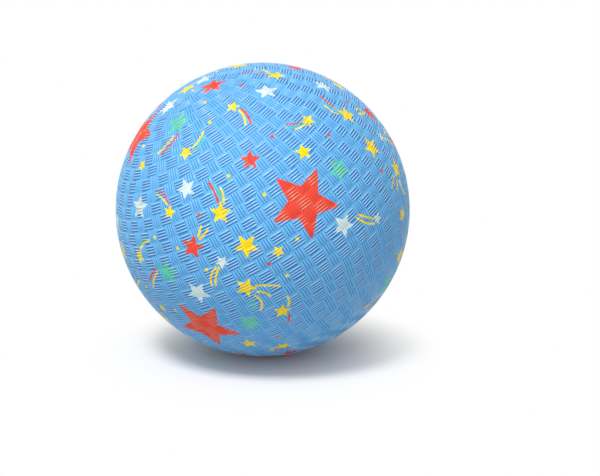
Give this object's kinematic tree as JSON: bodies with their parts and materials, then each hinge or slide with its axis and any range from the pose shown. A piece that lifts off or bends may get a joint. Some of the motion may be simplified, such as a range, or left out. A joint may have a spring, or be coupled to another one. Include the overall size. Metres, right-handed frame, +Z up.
{
  "type": "dodgeball",
  "caption": "Inflated moulded rubber playground ball with a basket-weave grip relief, star print and a self-sealing needle valve.",
  "frame": {"origin": "centre of the ball", "axes": "+Z up as the ball lies; -Y towards the viewer of the picture; the valve points down, right and back, 32.4 degrees from straight down"},
  "size_m": [0.216, 0.216, 0.216],
  "materials": {
    "cover_rubber": "satin light blue rubber, moulded in a basket weave, printed with red, yellow, white and green stars",
    "bladder_rubber": "matt black butyl rubber, dusted with talc",
    "patch_rubber": "matt dark rubber sheet with a cloth-marked face",
    "valve_rubber": "satin moulded rubber, darker blue than the cover",
    "plug_rubber": "soft translucent-white rubber, slightly waxy"
  },
  "bodies": {
    "root": {"cover_upper": "cover_rubber", "cover_lower": "cover_rubber", "bladder": "bladder_rubber", "valve_patch": "patch_rubber", "valve_housing": "valve_rubber", "valve_plug": "plug_rubber"}
  },
  "joints": []
}
